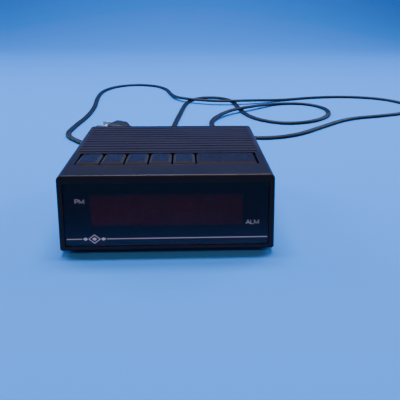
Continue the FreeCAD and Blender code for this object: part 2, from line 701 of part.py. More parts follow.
def key_cap(span, front_gap, front_rise, side_bevel):
    """Hollow cap whose top slopes down to the rear, with sloping sides and front, a flange and a post."""
    left, right = span
    near, far = OPENING_FRONT_Y + front_gap, OPENING_REAR_Y - KEY_REAR_GAP
    low = CASE_TOP - KEY_DEPTH_BELOW
    front_top, rear_top = CASE_TOP + front_rise, CASE_TOP + KEY_REAR_RISE
    slope = (rear_top - front_top) / (far - near)
    side_view = [V(left, near, low), V(left, near, front_top - KEY_FRONT_BEVEL),
                 V(left, near + KEY_FRONT_BEVEL, front_top + slope * KEY_FRONT_BEVEL),
                 V(left, far, rear_top), V(left, far, low)]
    cap = Part.Face(Part.makePolygon(side_view + side_view[:1])).extrude(V(right - left, 0, 0))
    deep = low - KEY_DEPTH_BELOW
    front_view = [V(left, near, deep), V(left, near, front_top - KEY_SIDE_BEVEL_DROP),
                  V(left + side_bevel, near, front_top), V(right - side_bevel, near, front_top),
                  V(right, near, front_top - KEY_SIDE_BEVEL_DROP), V(right, near, deep)]
    run = V(0, far - near, rear_top - front_top)
    cap = cap.common(Part.Face(Part.makePolygon(front_view + front_view[:1])).extrude(run))
    rear_corners = [edge for edge in cap.Edges if is_upright(edge) and edge.Length > 1.0
                    and edge.Vertexes[0].Point.y > far - 0.1]
    cap = cap.makeFillet(KEY_REAR_CORNER, rear_corners)
    hollow = box(left + KEY_SHELL, right - KEY_SHELL, near + KEY_SHELL, far - KEY_SHELL,
                 low - 1.0, CASE_TOP - KEY_ROOF)
    flange = box(left, right, near - FLANGE_REACH, far + FLANGE_REACH, low, low + FLANGE_THICKNESS)
    x, y = switch_place(span)
    post = cylinder(x, y, PLUNGER_TOP, CASE_TOP - KEY_SHELL, KEY_POST_RADIUS)
    return cap.fuse(flange).cut(hollow).fuse(post).removeSplitter()


def switch_plunger(span):
    x, y = switch_place(span)
    return cylinder(x, y, PLUNGER_BOTTOM, PLUNGER_TOP, PLUNGER_RADIUS)


def switch_body(span):
    x, y = switch_place(span)
    half = SWITCH_SIZE / 2
    body = rounded_box(x - half, x + half, y - half, y + half, KEY_BOARD_TOP, SWITCH_TOP, SWITCH_CORNER)
    return body.cut(cylinder(x, y, SWITCH_BORE_FLOOR, SWITCH_TOP + 1.0, SWITCH_BORE_RADIUS))


def key_board():
    return rounded_box(-KEY_BOARD_HALF_WIDTH, KEY_BOARD_HALF_WIDTH, *KEY_BOARD_Y,
                       KEY_BOARD_TOP - BOARD_THICKNESS, KEY_BOARD_TOP, BOARD_CORNER)


# --- electronics ----------------------------------------------------------------------------------

def main_board():
    x0, x1, y0, y1 = MAIN_BOARD
    return rounded_box(x0, x1, y0, y1, MAIN_BOARD_BOTTOM, MAIN_BOARD_BOTTOM + BOARD_THICKNESS, BOARD_CORNER)


def board_part(x, y):
    """Ground point of a component that stands on the main board."""
    return x, y, MAIN_BOARD_BOTTOM + BOARD_THICKNESS


def clock_chip():
    x, y, z = board_part(CHIP_X, CHIP_Y)
    low, high = z + CHIP_Z[0], z + CHIP_Z[1]
    body = box(x - CHIP_HALF_LENGTH, x + CHIP_HALF_LENGTH, y - CHIP_HALF_WIDTH,
               y + CHIP_HALF_WIDTH, low, high)
    body = body.cut(cylinder(x - CHIP_HALF_LENGTH, y, high - 0.6, high + 0.6, CHIP_NOTCH))
    pins = []
    for index in range(CHIP_PINS):
        pin_x = x + (index - (CHIP_PINS - 1) / 2) * PIN_PITCH
        for side in (-1, 1):
            pin_y = y + side * PIN_OFFSET
            pins.append(box(pin_x - PIN_WIDTH / 2, pin_x + PIN_WIDTH / 2, pin_y - PIN_DEPTH / 2,
                            pin_y + PIN_DEPTH / 2, z, z + PIN_HEIGHT))
    return body.fuse(pins)


def filter_capacitor():
    x, y, z = board_part(CAPACITOR_X, CAPACITOR_Y)
    can = cylinder(x, y, z, z + CAPACITOR_HEIGHT, CAPACITOR_RADIUS)
    rims = [edge for edge in can.Edges if len(edge.Vertexes) == 1]
    return can.makeFillet(CAPACITOR_EDGE, rims)


def axial_component(x, y, length, radius):
    """Diode or resistor lying along X on its bent wire legs."""
    x, y, z = board_part(x, y)
    middle = z + radius + BODY_ABOVE_BOARD
    reach = length / 2 + WIRE_OVERHANG
    body = rod((x - length / 2, y, middle), (1, 0, 0), length, radius)
    wire = rod((x - reach, y, middle), (1, 0, 0), 2 * reach, WIRE_RADIUS)
    legs = [cylinder(x + side * reach, y, z, middle, WIRE_RADIUS) for side in (-1, 1)]
    return body.fuse([wire] + legs)


def regulator():
    x, y, z = board_part(REGULATOR_X, REGULATOR_Y)
    low, high = z + REGULATOR_Z[0], z + REGULATOR_Z[1]
    flat = box(x - REGULATOR_RADIUS, x + REGULATOR_RADIUS, y + REGULATOR_FLAT, y + 2 * REGULATOR_RADIUS,
               low - 1.0, high + 1.0)
    body = cylinder(x, y, low, high, REGULATOR_RADIUS).cut(flat)
    half = REGULATOR_LEG / 2
    legs = [box(x + offset - half, x + offset + half, y - half, y + half, z, low + 0.2)
            for offset in (-REGULATOR_LEG_PITCH, 0.0, REGULATOR_LEG_PITCH)]
    return body.fuse(legs)


def around_transformer(half_x, half_y, z0, z1):
    """Box centred on the transformer, from its half sizes."""
    return box(TRANSFORMER_X - half_x, TRANSFORMER_X + half_x,
               TRANSFORMER_Y - half_y, TRANSFORMER_Y + half_y, z0, z1)


def transformer_core():
    core = around_transformer(CORE_WIDTH / 2, CORE_DEPTH / 2, CORE_BOTTOM, CORE_BOTTOM + CORE_HEIGHT)
    windows = []
    for side in (-1, 1):
        window = around_transformer(CORE_WINDOW_WIDTH / 2, CORE_DEPTH, CORE_BOTTOM + CORE_YOKE,
                                    CORE_BOTTOM + CORE_HEIGHT - CORE_YOKE)
        windows.append(window.translated(V(side * CORE_WINDOW_X, 0, 0)))
    return core.cut(windows)


def bobbin_heights():
    """Lower end, middle and upper end of the bobbin."""
    low, high = CORE_BOTTOM + CORE_YOKE + BOBBIN_GAP, CORE_BOTTOM + CORE_HEIGHT - CORE_YOKE - BOBBIN_GAP
    return low, (low + high) / 2, high


def winding_ring(inside, outside, z0, z1):
    """Rectangular ring around the middle limb of the core, from its inner and outer half sizes."""
    outer = rounded_box(TRANSFORMER_X - outside[0], TRANSFORMER_X + outside[0], TRANSFORMER_Y - outside[1],
                        TRANSFORMER_Y + outside[1], z0, z1, WINDING_CORNER)
    return outer.cut(around_transformer(*inside, z0 - 1.0, z1 + 1.0))


def transformer_bobbin():
    low, middle, high = bobbin_heights()
    tube = winding_ring(BOBBIN_INSIDE, BOBBIN_OUTSIDE, low, high)
    flanges = [winding_ring(BOBBIN_INSIDE, BOBBIN_FLANGE, z, z + FLANGE_PLATE)
               for z in (low, middle - FLANGE_PLATE / 2, high - FLANGE_PLATE)]
    return tube.fuse(flanges)


def transformer_winding(upper):
    low, middle, high = bobbin_heights()
    inside = [size + WINDING_GAP for size in BOBBIN_OUTSIDE]
    if upper:
        return winding_ring(inside, WINDING_OUTSIDE, middle + FLANGE_PLATE / 2 + WINDING_GAP,
                            high - FLANGE_PLATE - WINDING_GAP)
    return winding_ring(inside, WINDING_OUTSIDE, low + FLANGE_PLATE + WINDING_GAP,
                        middle - FLANGE_PLATE / 2 - WINDING_GAP)


def transformer_bracket():
    """Steel strap over the core, widened into a base plate and two side feet."""
    half_width, half_depth = CORE_WIDTH / 2, CORE_DEPTH / 2
    outside = half_width + STRAP_THICKNESS
    top = CORE_BOTTOM + CORE_HEIGHT
    strap = around_transformer(outside, half_depth - STRAP_INSET, BASE_FLOOR_TOP, top + STRAP_THICKNESS)
    base = around_transformer(outside, half_depth, BASE_FLOOR_TOP, STRAP_FOOT_TOP)
    return strap.fuse(base).cut(around_transformer(half_width, CORE_DEPTH, CORE_BOTTOM, top)).removeSplitter()


def buzzer_housing():
    drum = cylinder(BUZZER_X, BUZZER_Y, BASE_FLOOR_TOP, BUZZER_TOP, BUZZER_RADIUS)
    inside = cylinder(BUZZER_X, BUZZER_Y, BASE_FLOOR_TOP - 1.0, BUZZER_TOP - BUZZER_ROOF,
                      BUZZER_RADIUS - BUZZER_WALL)
    return drum.cut([inside, cylinder(BUZZER_X, BUZZER_Y, BASE_FLOOR_TOP, BUZZER_TOP + 1.0, BUZZER_HOLE)])


def buzzer_disc():
    return cylinder(BUZZER_X, BUZZER_Y, *BUZZER_DISC_Z, BUZZER_RADIUS - BUZZER_WALL - 0.05)


# --- screws, feet, label --------------------------------------------------------------------------

def case_screw(x, y):
    head = cylinder(x, y, SCREW_HEAD_LOW, SCREW_HEAD_TOP, SCREW_HEAD_RADIUS)
    shank = cylinder(x, y, SCREW_HEAD_TOP - 0.1, BOSS_SPLIT + SCREW_LENGTH - 2.0, SCREW_RADIUS)
    long, short = SCREW_CROSS[0] / 2, SCREW_CROSS[1] / 2
    cross = [box(x - half_x, x + half_x, y - half_y, y + half_y, SCREW_HEAD_LOW - 1.0, SCREW_HEAD_LOW + 0.9)
             for half_x, half_y in ((long, short), (short, long))]
    return head.fuse(shank).cut(cross)


def foot(x, y):
    pad = cylinder(x, y, 0.0, FOOT_TOP, FOOT_RADIUS)
    rim = [edge for edge in pad.Edges if len(edge.Vertexes) == 1 and edge.CenterOfMass.z < 0.1]
    return pad.makeFillet(FOOT_EDGE, rim)


def rating_label():
    return rounded_box(*LABEL_X, *LABEL_Y, BASE_BOTTOM - LABEL_THICKNESS, BASE_BOTTOM, LABEL_CORNER)


# --- cord, boot and plug --------------------------------------------------------------------------

def along_y(section):
    """Turns a section drawn square to X so that it stands square to Y."""
    turned = section.copy()
    turned.rotate(V(0, 0, 0), UP, 90)
    return turned


def strain_relief():
    """Boot with a neck through the rear wall and a flange inside it."""
    sections = [along_y(oblong(y, -CORD_EXIT_X, CORD_EXIT_Z, wide, high, radius))
                for y, wide, high, radius in BOOT_SECTIONS]
    boot = Part.makeLoft(sections, True, True)
    neck = box(CORD_EXIT_X - NECK_HALF_WIDTH, CORD_EXIT_X + NECK_HALF_WIDTH, BOOT_FLANGE_Y[1] - 0.2,
               BOOT_SECTIONS[0][0] + 0.2, CORD_EXIT_Z - NECK_HALF_HEIGHT, CORD_EXIT_Z + NECK_HALF_HEIGHT)
    flange = box(CORD_EXIT_X - BOOT_FLANGE_HALF_WIDTH, CORD_EXIT_X + BOOT_FLANGE_HALF_WIDTH, *BOOT_FLANGE_Y,
                 CORD_EXIT_Z - BOOT_FLANGE_HALF_HEIGHT, CORD_EXIT_Z + BOOT_FLANGE_HALF_HEIGHT)
    return boot.fuse([neck, flange])


def turned_like_plug(shape):
    turned = shape.copy()
    turned.rotate(V(PLUG_X, PLUG_Y, PLUG_Z), UP, PLUG_TURN)
    return turned


def plug_body():
    """Moulded two-blade plug, lying flat with its blades towards -X."""
    sections = [oblong(PLUG_X - along, PLUG_Y, PLUG_Z, wide, high, radius)
                for along, wide, high, radius in PLUG_SECTIONS]
    return turned_like_plug(Part.makeLoft(sections, True, True))


def plug_blade(side, width):
    y = PLUG_Y + side * BLADE_SPACING / 2
    root = PLUG_X - PLUG_LENGTH
    half = width / 2
    blade = box(root - BLADE_LENGTH, root, y - BLADE_THICKNESS / 2, y + BLADE_THICKNESS / 2,
                PLUG_Z - half, PLUG_Z + half)
    tips = [edge for edge in blade.Edges if abs(edge.CenterOfMass.x - (root - BLADE_LENGTH)) < 0.01
            and edge.Length < BLADE_THICKNESS + 0.1]
    blade = blade.makeFillet(BLADE_TIP_RADIUS, tips)
    hole_x = root - BLADE_LENGTH + BLADE_HOLE_INSET
    hole = rod((hole_x, y - BLADE_THICKNESS, PLUG_Z), (0, 1, 0), 2 * BLADE_THICKNESS, BLADE_HOLE_RADIUS)
    return turned_like_plug(blade.cut(hole))


# --- leads inside the case ------------------------------------------------------------------------

def primary_lead():
    """From the boot to the lower winding."""
    winding_y = TRANSFORMER_Y + WINDING_OUTSIDE[1] + WINDING_GAP
    start = (CORD_EXIT_X, BOOT_FLANGE_Y[0], CORD_EXIT_Z)
    return round_lead([start, *PRIMARY_BENDS, (LEAD_X, winding_y, PRIMARY_Z)])


def secondary_lead():
    """From the upper winding to the main board."""
    winding_y = TRANSFORMER_Y - WINDING_OUTSIDE[1] - WINDING_GAP
    return round_lead([(LEAD_X, winding_y, SECONDARY_Z), *SECONDARY_BENDS])


def display_ribbon():
    """Flat ribbon from the main board up to the display board."""
    middle = sum(RIBBON_X) / 2
    points = [(middle, y, z) for y, z in RIBBON_BENDS]
    start = V(*points[0])
    half = V(0, RIBBON_THICKNESS / 2, 0)
    reach = V(middle - RIBBON_X[0], 0, 0)
    section = [start - reach - half, start + reach - half, start + reach + half, start - reach + half]
    shell = Part.BRepOffsetAPI.MakePipeShell(route_path(points))
    shell.setBiNormalMode(V(1, 0, 0))
    shell.add(Part.makePolygon(section + section[:1]), False, False)
    shell.build()
    shell.makeSolid()
    return shell.shape()


def export(name, shape):
    if not shape.isValid() or len(shape.Solids) != 1:
        print("check", name, "valid", shape.isValid(), "solids", len(shape.Solids))
    shape.exportStep("parts/%s.step" % name)


def main():
    os.makedirs("parts", exist_ok=True)
    print("cord length %.0f mm" % route_path(CORD_ROUTE).Length)
    nodes = {
        "top_housing": top_housing(),
        "bottom_housing": bottom_housing(),
        "front_lens": front_lens(),
        "lens_mask": lens_mask(),
        "display_reflector": display_reflector(),
        "display_segments": display_segments(),
        "display_board": display_board(),
        "key_board": key_board(),
        "main_board": main_board(),
        "clock_chip": clock_chip(),
        "filter_capacitor": filter_capacitor(),
        "regulator": regulator(),
        "transformer_core": transformer_core(),
        "transformer_bobbin": transformer_bobbin(),
        "transformer_primary": transformer_winding(False),
        "transformer_secondary": transformer_winding(True),
        "transformer_bracket": transformer_bracket(),
        "buzzer_housing": buzzer_housing(),
        "buzzer_disc": buzzer_disc(),
        "rating_label": rating_label(),
        "primary_lead": primary_lead(),
        "secondary_lead": secondary_lead(),
        "display_ribbon": display_ribbon(),
        "strain_relief": strain_relief(),
        "power_cord": flat_cord(CORD_ROUTE, CORD_WIDTH, CORD_THICKNESS),
        "plug_body": plug_body(),
        "plug_blade_wide": plug_blade(1, WIDE_BLADE),
        "plug_blade_narrow": plug_blade(-1, NARROW_BLADE),
    }
    for index, (name, span) in enumerate(key_spans().items()):
        snooze = name == "snooze_key"
        gap = SNOOZE_FRONT_GAP if snooze else KEY_FRONT_GAP
        rise = SNOOZE_FRONT_RISE if snooze else KEY_FRONT_RISE
        bevel = SNOOZE_SIDE_BEVEL_WIDTH if snooze else KEY_SIDE_BEVEL_WIDTH
        nodes[name] = key_cap(span, gap, rise, bevel)
        nodes["switch_%d" % (index + 1)] = switch_body(span)
        nodes["plunger_%d" % (index + 1)] = switch_plunger(span)
    for index, (x, y) in enumerate(boss_places()):
        nodes["case_screw_%d" % (index + 1)] = case_screw(x, y)
    for index, (x, y) in enumerate(foot_places()):
        nodes["foot_%d" % (index + 1)] = foot(x, y)
    for index in range(2):
        nodes["diode_%d" % (index + 1)] = axial_component(DIODE_X, DIODE_Y[index], *DIODE_SIZE)
        nodes["resistor_%d" % (index + 1)] = axial_component(RESISTOR_X[index], RESISTOR_Y, *RESISTOR_SIZE)
    for name, shape in nodes.items():
        export(name, shape)
    print(len(nodes), "nodes")


main()
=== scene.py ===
"""Looks of the digital alarm clock: materials, printed panel, cord, boot, plug, camera and light."""
import math

import bpy
from mathutils import Matrix, Vector


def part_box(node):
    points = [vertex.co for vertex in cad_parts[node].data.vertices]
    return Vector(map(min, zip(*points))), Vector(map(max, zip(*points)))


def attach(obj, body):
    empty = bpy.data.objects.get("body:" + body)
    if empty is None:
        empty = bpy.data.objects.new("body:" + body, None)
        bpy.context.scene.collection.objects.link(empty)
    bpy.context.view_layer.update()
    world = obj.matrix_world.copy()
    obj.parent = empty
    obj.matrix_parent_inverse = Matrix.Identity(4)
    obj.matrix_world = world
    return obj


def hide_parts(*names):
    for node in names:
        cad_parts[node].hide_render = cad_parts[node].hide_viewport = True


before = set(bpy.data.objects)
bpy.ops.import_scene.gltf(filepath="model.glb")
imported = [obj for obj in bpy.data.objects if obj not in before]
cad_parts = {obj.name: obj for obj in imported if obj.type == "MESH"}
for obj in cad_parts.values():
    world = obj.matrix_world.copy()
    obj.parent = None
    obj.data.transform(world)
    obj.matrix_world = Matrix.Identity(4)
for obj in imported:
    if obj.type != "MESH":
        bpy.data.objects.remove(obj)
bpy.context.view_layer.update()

MM = 0.001
TABLE_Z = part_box("foot_1")[0].z
CASE_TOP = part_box("top_housing")[1].z

# The front face leans back; these repeat the driving sizes of the case.
FRONT_FOOT_Y = -56.0 * MM
FRONT_FOOT_Z = 2.6 * MM
FRONT_LEAN = 12.0 * MM
FRONT_RISE = 44.4 * MM
LEAN_ANGLE = math.atan2(FRONT_LEAN, FRONT_RISE)
SLANT = math.hypot(FRONT_RISE, FRONT_LEAN)
PANEL_RECESS = 0.9 * MM
RIBS_START_Y = -6.0 * MM

CORD_WIDTH = 6.0 * MM
CORD_LOBE = CORD_WIDTH / 4      # radius of each half of the twin cord
BOOT_START = Vector((-20.0, 53.4, 9.0)) * MM    # inside the rear wall
BOOT_END = Vector((-20.0, 78.0, 9.0)) * MM      # where the cord leaves the boot
PLUG_START = Vector((-46.0, 171.0, 7.0)) * MM   # where the cord ends in the plug
PLUG_TURN = math.radians(-25.0)
LIE = 1.52 * MM                 # height of the cord's middle where it lies on the table
CROSSING = 5.2 * MM             # and where it passes over itself
CORD_ROUTE = [
    BOOT_END, (-0.020, 0.098, 0.0084), (-0.014, 0.128, 0.0032), (-0.005, 0.168, LIE),
    (-0.001, 0.214, LIE), (0.006, 0.268, LIE), (0.014, 0.326, LIE), (0.034, 0.352, LIE),
    (0.062, 0.354, LIE), (0.082, 0.332, LIE), (0.085, 0.290, LIE), (0.094, 0.240, LIE),
    (0.128, 0.212, LIE), (0.170, 0.220, LIE), (0.201, 0.250, LIE), (0.207, 0.288, LIE),
    (0.182, 0.315, LIE), (0.140, 0.312, LIE), (0.104, 0.284, CROSSING), (0.066, 0.260, CROSSING),
    (0.040, 0.222, LIE), (0.049, 0.178, LIE), (0.088, 0.156, LIE), (0.134, 0.166, LIE),
    (0.174, 0.199, LIE), (0.218, 0.234, LIE), (0.268, 0.246, LIE), (0.312, 0.262, LIE),
    (0.334, 0.300, LIE), (0.314, 0.340, LIE), (0.264, 0.356, LIE), (0.208, 0.352, LIE),
    (0.154, 0.334, LIE), (0.106, 0.318, CROSSING), (0.058, 0.312, CROSSING), (0.004, 0.332, CROSSING),
    (-0.010, 0.372, LIE), (-0.017, 0.412, LIE), (-0.038, 0.442, LIE), (-0.072, 0.452, LIE),
    (-0.104, 0.436, LIE), (-0.121, 0.400, LIE), (-0.120, 0.350, LIE), (-0.113, 0.298, LIE),
    (-0.113, 0.248, LIE), (-0.119, 0.207, LIE), (-0.121, 0.173, LIE), (-0.099, 0.148, LIE),
    (-0.077, 0.128, LIE), (-0.056, 0.115, LIE), (-0.0355, 0.115, LIE), (-0.021, 0.130, 0.0022),
    (-0.021, 0.150, 0.0042), (-0.0355, 0.165, 0.007), PLUG_START,
]


# --- small helpers ----------------------------------------------------------------------------

def new_object(name, mesh, body="root", smooth=True):
    piece = bpy.data.objects.new(name, mesh)
    bpy.context.scene.collection.objects.link(piece)
    if smooth:
        for polygon in mesh.polygons:
            polygon.use_smooth = True
    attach(piece, body)
    return piece


def mesh_from(name, vertices, faces):
    mesh = bpy.data.meshes.new(name)
    mesh.from_pydata([tuple(v) for v in vertices], [], faces)
    mesh.update()
    return mesh


def on_front(x, up, depth):
    """Point of the leaning front face: x to the right, up the face, depth inward."""
    y = FRONT_FOOT_Y + up * math.sin(LEAN_ANGLE) + depth * math.cos(LEAN_ANGLE)
    z = FRONT_FOOT_Z + up * math.cos(LEAN_ANGLE) - depth * math.sin(LEAN_ANGLE)
    return Vector((x, y, z))


def tube_mesh(name, rings):
    """Closed tube through rings that all have the same number of points."""
    count = len(rings[0])
    vertices = [point for ring in rings for point in ring]
    faces = []
    for first in range(0, len(vertices) - count, count):
        for step in range(count):
            a, b = first + step, first + (step + 1) % count
            faces.append((a, b, b + count, a + count))
    faces.append(tuple(reversed(range(count))))
    faces.append(tuple(range(len(vertices) - count, len(vertices))))
    return mesh_from(name, vertices, faces)


def between(table, along):
    """Values of a table of (distance, value, value, ...) rows at one distance, eased from row to row."""
    for row, following in zip(table, table[1:]):
        if along <= following[0]:
            share = (along - row[0]) / (following[0] - row[0])
            ease = share * share * (3 - 2 * share)
            return [a + (b - a) * ease for a, b in zip(row[1:], following[1:])]
    return table[-1][1:]


def soft_oblong(half_width, half_height, power, count=48):
    """Outline between an ellipse (power 2) and a rectangle, as (across, up) pairs."""
    outline = []
    for index in range(count):
        angle = 2 * math.pi * index / count
        c, s = math.cos(angle), math.sin(angle)
        outline.append((half_width * math.copysign(abs(c) ** (2 / power), c),
                        half_height * math.copysign(abs(s) ** (2 / power), s)))
    return outline


# --- materials --------------------------------------------------------------------------------

class Shader:
    """Builds a Principled material node by node."""

    def __init__(self, name, color, roughness, **sockets):
        self.material = bpy.data.materials.new(name)
        self.material.use_nodes = True
        self.tree = self.material.node_tree
        self.tree.nodes.clear()
        self.output = self.tree.nodes.new("ShaderNodeOutputMaterial")
        self.surface = self.tree.nodes.new("ShaderNodeBsdfPrincipled")
        self.link(self.surface.outputs["BSDF"], self.output.inputs["Surface"])
        self.surface.inputs["Base Color"].default_value = (*color, 1.0)
        self.surface.inputs["Roughness"].default_value = roughness
        for socket, value in sockets.items():
            self.surface.inputs[socket.replace("_", " ")].default_value = value
        coordinates = self.tree.nodes.new("ShaderNodeTexCoord")
        self.position = coordinates.outputs["Object"]

    def link(self, source, target):
        self.tree.links.new(source, target)

    def node(self, kind, **values):
        made = self.tree.nodes.new(kind)
        for key, value in values.items():
            if hasattr(made, key):
                setattr(made, key, value)
            else:
                made.inputs[key.replace("_", " ")].default_value = value
        return made

    def noise(self, size, detail=3.0, rough=0.55, stretch=None):
        """Noise whose features are about size metres across."""
        texture = self.node("ShaderNodeTexNoise", Scale=1.0 / size, Detail=detail, Roughness=rough)
        source = self.position
        if stretch:
            mapping = self.node("ShaderNodeMapping")
            mapping.inputs["Scale"].default_value = stretch
            self.link(source, mapping.inputs["Vector"])
            source = mapping.outputs["Vector"]
        self.link(source, texture.inputs["Vector"])
        return texture.outputs["Fac"]

    def ramp(self, source, low, high, start, end):
        mapped = self.node("ShaderNodeMapRange")
        for socket, value in (("From Min", low), ("From Max", high), ("To Min", start), ("To Max", end)):
            mapped.inputs[socket].default_value = value
        self.link(source, mapped.inputs["Value"])
        return mapped.outputs["Result"]

    def math(self, operation, first, second):
        made = self.node("ShaderNodeMath", operation=operation)
        for socket, value in zip(made.inputs, (first, second)):
            if isinstance(value, (int, float)):
                socket.default_value = value
            else:
                self.link(value, socket)
        return made.outputs["Value"]

    def mix(self, factor, first, second):
        made = self.node("ShaderNodeMix", data_type="RGBA")
        for index, value in ((0, factor), (6, first), (7, second)):
            socket = made.inputs[index]
            if isinstance(value, tuple):
                socket.default_value = (*value, 1.0)
            elif isinstance(value, (int, float)):
                socket.default_value = value
            else:
                self.link(value, socket)
        return made.outputs[2]

    def edges(self, radius, low=0.02, high=0.25):
        """Mask that is 1 on convex and concave edges, from a rounded normal."""
        bevel = self.node("ShaderNodeBevel", samples=6)
        bevel.inputs["Radius"].default_value = radius
        geometry = self.node("ShaderNodeNewGeometry")
        dot = self.node("ShaderNodeVectorMath", operation="DOT_PRODUCT")
        self.link(bevel.outputs["Normal"], dot.inputs[0])
        self.link(geometry.outputs["Normal"], dot.inputs[1])
        bent = self.math("SUBTRACT", 1.0, dot.outputs["Value"])
        return self.ramp(bent, low, high, 0.0, 1.0)

    def slopes(self):
        """1 on chamfers and slopes, 0 where the surface lies level or stands upright."""
        geometry = self.node("ShaderNodeNewGeometry")
        parts = self.node("ShaderNodeSeparateXYZ")
        self.link(geometry.outputs["Normal"], parts.inputs[0])
        tilted = self.ramp(parts.outputs["Z"], 0.97, 0.84, 0.0, 1.0)
        leaning = self.ramp(parts.outputs["Z"], 0.25, 0.5, 0.0, 1.0)
        return self.math("MULTIPLY", tilted, leaning)

    def rib_mask(self):
        """1 on the dusty tops of the ribs, 0 on the smooth part in front of them and on the other faces."""
        parts = self.node("ShaderNodeSeparateXYZ")
        self.link(self.position, parts.inputs[0])
        behind = self.ramp(parts.outputs["Y"], RIBS_START_Y, RIBS_START_Y + 2 * MM, 0.0, 1.0)
        above = self.ramp(parts.outputs["Z"], CASE_TOP - 1.2 * MM, CASE_TOP - 0.1 * MM, 0.0, 1.0)
        patches = self.ramp(self.noise(14 * MM, 4.0, 0.6), 0.3, 0.7, 0.55, 1.0)
        return self.math("MULTIPLY", self.math("MULTIPLY", behind, above), patches)

    def color(self, source):
        self.link(source, self.surface.inputs["Base Color"])

    def roughness(self, source):
        self.link(source, self.surface.inputs["Roughness"])

    def bump(self, source, strength, distance):
        made = self.node("ShaderNodeBump")
        made.inputs["Strength"].default_value = strength
        made.inputs["Distance"].default_value = distance
        self.link(source, made.inputs["Height"])
        self.link(made.outputs["Normal"], self.surface.inputs["Normal"])


DUST_COLOR = (0.16, 0.15, 0.15)
BEVEL_DULLING = 0.28            # added roughness of rubbed bevels
RUB_POLISH = 0.12               # roughness that rubbing takes off


def moulded_plastic(name, color, worn, rough_low, rough_high, grain=0.25 * MM, depth=0.02 * MM,
                    scuffs=0.5, dust=0.12, ribs=None, bevel_highlight=None, specular=0.35):
    """Dark satin plastic: fine spark-eroded grain, cloudy gloss, dust, rubbed and nicked edges, and, when a
    chamfer colour is given, a painted highlight on the sloped chamfers.
    """
    shader = Shader(name, color, 0.5, Specular_IOR_Level=specular)
    slow = shader.noise(22 * MM, 4.0, 0.6)
    fine = shader.noise(grain, 2.0, 0.6)
    specks = shader.ramp(shader.noise(1.1 * MM, 6.0, 0.7), 0.62, 0.74, 0.0, 1.0)
    clouds = shader.noise(5 * MM, 3.0, 0.6)
    edges = shader.edges(0.6 * MM)
    rub = shader.math("MULTIPLY", edges, shader.ramp(slow, 0.35, 0.65, 0.2, 1.0))
    chips = shader.ramp(shader.noise(1.6 * MM, 2.0, 0.5), 0.66, 0.72, 0.0, 1.0)
    nicks = shader.math("MULTIPLY", edges, chips)
    base = shader.mix(shader.ramp(slow, 0.3, 0.7, 0.0, 1.0), color, tuple(c * 1.35 for c in color))
    if ribs:
        base = shader.mix(shader.rib_mask(), base, ribs)
    gloss = shader.ramp(clouds, 0.3, 0.7, rough_low, rough_high)
    # a lighter colour on the sloped chamfers is a painted highlight for the light they would catch
    if bevel_highlight:
        slopes = shader.slopes()
        base = shader.mix(slopes, base, bevel_highlight)
        gloss = shader.math("ADD", gloss, shader.math("MULTIPLY", slopes, BEVEL_DULLING))
    base = shader.mix(shader.math("MULTIPLY", rub, scuffs), base, worn)
    base = shader.mix(shader.math("MULTIPLY", nicks, 0.5), base, tuple(c * 2.6 for c in worn))
    base = shader.mix(shader.math("MULTIPLY", specks, dust), base, DUST_COLOR)
    shader.color(base)
    shader.roughness(shader.math("SUBTRACT", gloss, shader.math("MULTIPLY", rub, RUB_POLISH)))
    shader.bump(fine, 0.5, depth)
    return shader.material


def soft_vinyl(name, color, rough, dust_color):
    """Flexible cord and plug vinyl: fine grain, uneven tone and gloss, dust."""
    shader = Shader(name, color, rough, Specular_IOR_Level=0.35)
    slow = shader.noise(9 * MM, 3.0, 0.6)
    fine = shader.noise(0.35 * MM, 3.0, 0.6)
    dust = shader.ramp(shader.noise(2.2 * MM, 6.0, 0.7), 0.55, 0.75, 0.0, 0.35)
    base = shader.mix(shader.ramp(slow, 0.3, 0.7, 0.0, 1.0), color, tuple(c * 1.5 for c in color))
    shader.color(shader.mix(dust, base, dust_color))
    shader.roughness(shader.ramp(slow, 0.3, 0.7, rough - 0.08, rough + 0.10))
    shader.bump(fine, 0.35, 0.03 * MM)
    return shader.material


STAIN_COLOR = (0.25, 0.16, 0.08)


def metal(name, color, rough, stretch=(1.0, 1.0, 1.0), tarnish=0.3):
    """Bare metal: patches of tarnish and a fine grain, which stretch draws out into lines."""
    shader = Shader(name, color, rough, Metallic=1.0)
    lines = shader.noise(0.6 * MM, 3.0, 0.6, stretch=stretch)
    cloud = shader.noise(3.5 * MM, 5.0, 0.65)
    shader.color(shader.mix(shader.ramp(cloud, 0.5, 0.75, 0.0, tarnish), color, STAIN_COLOR))
    shader.roughness(shader.ramp(lines, 0.3, 0.7, rough * 0.7, rough * 1.4))
    shader.bump(lines, 0.25, 0.02 * MM)
    return shader.material


def lens_acrylic():
    """Clear dark red acrylic with a polished face, faint wipe marks and a few specks of dust."""
    shader = Shader("lens_acrylic", (0.76, 0.09, 0.11), 0.16, IOR=1.49, Transmission_Weight=1.0)
    smear = shader.noise(14 * MM, 5.0, 0.65, stretch=(0.6, 1.0, 2.0))
    dust = shader.ramp(shader.noise(0.9 * MM, 4.0, 0.7), 0.70, 0.78, 0.0, 0.10)
    shader.roughness(shader.math("ADD", shader.ramp(smear, 0.4, 0.75, 0.13, 0.20), dust))
    return shader.material


PRINT_COLOR = (1.0, 0.84, 0.60)
PRINT_SHADE = (0.88, 0.74, 0.54)


def printed_black():
    shader = Shader("printed_black", (0.004, 0.004, 0.005), 0.35)
    shader.bump(shader.noise(0.5 * MM, 2.0), 0.1, 0.01 * MM)
    shader.roughness(shader.ramp(shader.noise(8 * MM), 0.3, 0.7, 0.3, 0.45))
    return shader.material


def printed_white():
    shader = Shader("printed_white", PRINT_COLOR, 0.4)
    grain = shader.noise(0.5 * MM, 3.0)
    shader.color(shader.mix(shader.ramp(grain, 0.35, 0.75, 0.0, 1.0), PRINT_COLOR, PRINT_SHADE))
    return shader.material


